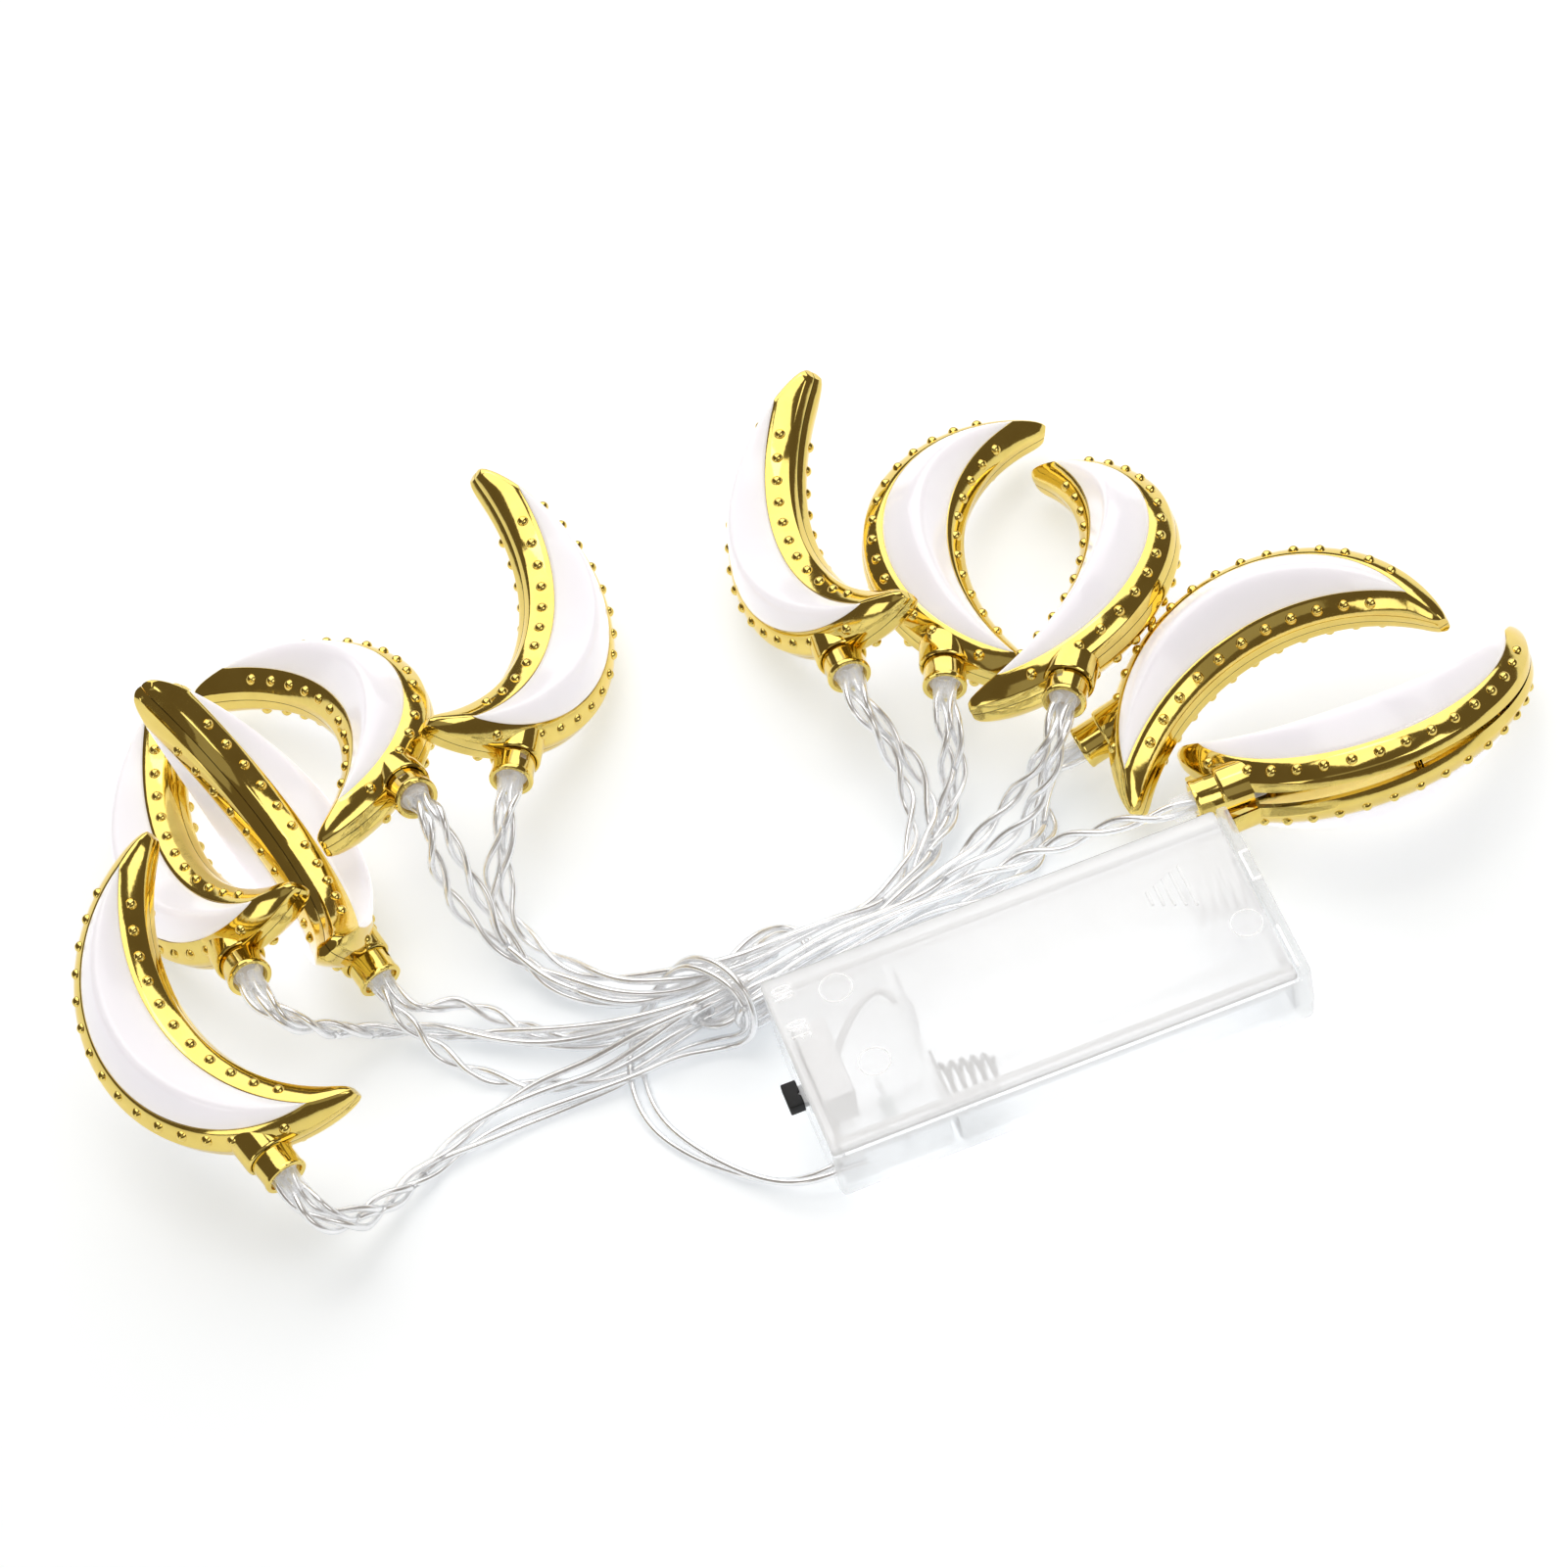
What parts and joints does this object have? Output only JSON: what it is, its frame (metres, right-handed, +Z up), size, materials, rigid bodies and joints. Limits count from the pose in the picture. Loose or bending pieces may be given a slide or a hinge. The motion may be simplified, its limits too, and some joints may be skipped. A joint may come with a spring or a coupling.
{
  "type": "moon string lights",
  "caption": "String of gold crescent moon lights with milky domed lenses on thin clear two-wire cords, with a clear battery box that has a sliding cover and a slide switch.",
  "frame": {"origin": "middle of the underside of the whole laid-out string, on the surface it lies on", "axes": "+X along the battery box towards its end away from the switch, +Y from the box towards the far moons, +Z up"},
  "size_m": [0.2282, 0.1459, 0.0353],
  "materials": {
    "gold": "polished, mirror-like metal plating on plastic",
    "milky_lens": "glossy, milky translucent",
    "clear_plastic": "clear, glossy",
    "black_plastic": "matte",
    "contact_metal": "nickel-plated",
    "resistor_body": "lacquered",
    "cord_plastic": "clear insulation over silvery strands"
  },
  "bodies": {
    "base": {"moon_a_front_shell": "gold", "moon_a_rear_shell": "gold", "moon_a_lenses": "milky_lens", "moon_a_led": "clear_plastic", "moon_b_front_shell": "gold", "moon_b_rear_shell": "gold", "moon_b_lenses": "milky_lens", "moon_b_led": "clear_plastic", "moon_c_front_shell": "gold", "moon_c_rear_shell": "gold", "moon_c_lenses": "milky_lens", "moon_c_led": "clear_plastic", "moon_d_front_shell": "gold", "moon_d_rear_shell": "gold", "moon_d_lenses": "milky_lens", "moon_d_led": "clear_plastic", "moon_e_front_shell": "gold", "moon_e_rear_shell": "gold", "moon_e_lenses": "milky_lens", "moon_e_led": "clear_plastic", "moon_f_front_shell": "gold", "moon_f_rear_shell": "gold", "moon_f_lenses": "milky_lens", "moon_f_led": "clear_plastic", "moon_g_front_shell": "gold", "moon_g_rear_shell": "gold", "moon_g_lenses": "milky_lens", "moon_g_led": "clear_plastic", "moon_h_front_shell": "gold", "moon_h_rear_shell": "gold", "moon_h_lenses": "milky_lens", "moon_h_led": "clear_plastic", "moon_i_front_shell": "gold", "moon_i_rear_shell": "gold", "moon_i_lenses": "milky_lens", "moon_i_led": "clear_plastic", "moon_j_front_shell": "gold", "moon_j_rear_shell": "gold", "moon_j_lenses": "milky_lens", "moon_j_led": "clear_plastic", "battery_tray": "clear_plastic", "switch_body": "black_plastic", "negative_plate": "contact_metal", "negative_spring": "contact_metal", "positive_plate": "contact_metal", "bridge_plate": "contact_metal", "bridge_spring": "contact_metal", "resistor": "resistor_body", "cord_lead": "cord_plastic", "cord_ab": "cord_plastic", "cord_bc": "cord_plastic", "cord_cd": "cord_plastic", "cord_de": "cord_plastic", "cord_ef": "cord_plastic", "cord_fg": "cord_plastic", "cord_gh": "cord_plastic", "cord_hi": "cord_plastic", "cord_ij": "cord_plastic"},
    "cover": {"battery_cover": "clear_plastic"},
    "slider": {"switch_slider": "black_plastic"}
  },
  "joints": [
    {"name": "cover_slide", "type": "slide", "parent": "base", "child": "cover", "axis": [-1, 0, 0], "range_m": [0, 0.06]},
    {"name": "switch_slide", "type": "slide", "parent": "base", "child": "slider", "axis": [0, 1, 0], "range_m": [0, 0.003]}
  ]
}
